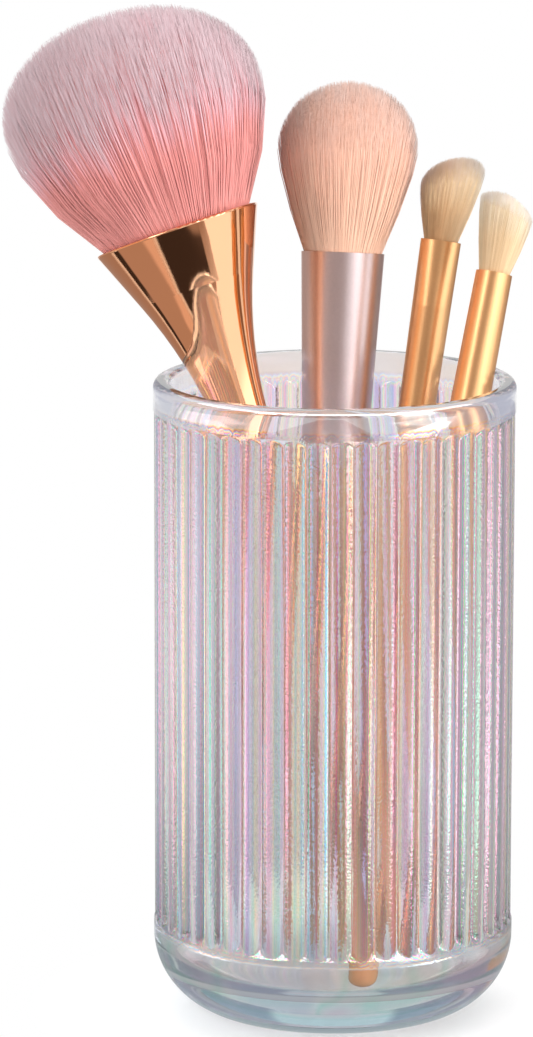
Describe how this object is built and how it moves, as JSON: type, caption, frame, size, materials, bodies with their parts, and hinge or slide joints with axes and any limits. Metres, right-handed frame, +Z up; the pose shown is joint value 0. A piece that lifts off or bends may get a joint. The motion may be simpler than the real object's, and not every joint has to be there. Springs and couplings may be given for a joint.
{
  "type": "makeup brush holder",
  "caption": "Clear ribbed glass tumbler on a solid base that holds make-up brushes upright, with soft-haired brushes standing in it that each lift out.",
  "frame": {"origin": "centre of the tumbler's flat underside, on the surface it stands on", "axes": "+Z up along the tumbler's axis, -Y towards the viewer of the picture, +X to the viewer's right"},
  "size_m": [0.1095, 0.085, 0.2083],
  "materials": {
    "ribbed_glass": "clear pressed glass with a pearl lustre",
    "rose_gold_plating": "mirror rose-gold plating",
    "champagne_ferrule": "satin anodised",
    "gold_ferrule": "satin anodised",
    "dusty_rose_lacquer": "gloss lacquer",
    "tan_lacquer": "gloss lacquer",
    "coral_hair": "soft dyed fibre",
    "peach_hair": "soft dyed fibre",
    "cream_hair": "soft fibre",
    "resin": "cast"
  },
  "bodies": {
    "holder": {"tumbler": "ribbed_glass"},
    "powder_brush": {"powder_handle": "rose_gold_plating", "powder_resin_plug": "resin", "powder_bristles": "coral_hair"},
    "blush_brush": {"blush_ferrule": "champagne_ferrule", "blush_handle": "dusty_rose_lacquer", "blush_resin_plug": "resin", "blush_bristles": "peach_hair"},
    "angled_brush": {"angled_ferrule": "gold_ferrule", "angled_handle": "tan_lacquer", "angled_resin_plug": "resin", "angled_bristles": "cream_hair"},
    "blending_brush": {"blending_ferrule": "gold_ferrule", "blending_handle": "tan_lacquer", "blending_resin_plug": "resin", "blending_bristles": "cream_hair"}
  },
  "joints": [
    {"name": "powder_brush_lift", "type": "slide", "parent": "holder", "child": "powder_brush", "axis": [-0.3296, 0.1551, 0.9313], "range_m": [0, 0.1365]},
    {"name": "blush_brush_lift", "type": "slide", "parent": "holder", "child": "blush_brush", "axis": [0.038, 0.1606, 0.9863], "range_m": [0, 0.129]},
    {"name": "angled_brush_lift", "type": "slide", "parent": "holder", "child": "angled_brush", "axis": [0.1393, 0.1766, 0.9744], "range_m": [0, 0.1306]},
    {"name": "blending_brush_lift", "type": "slide", "parent": "holder", "child": "blending_brush", "axis": [0.1819, 0.2471, 0.9518], "range_m": [0, 0.1337]}
  ]
}
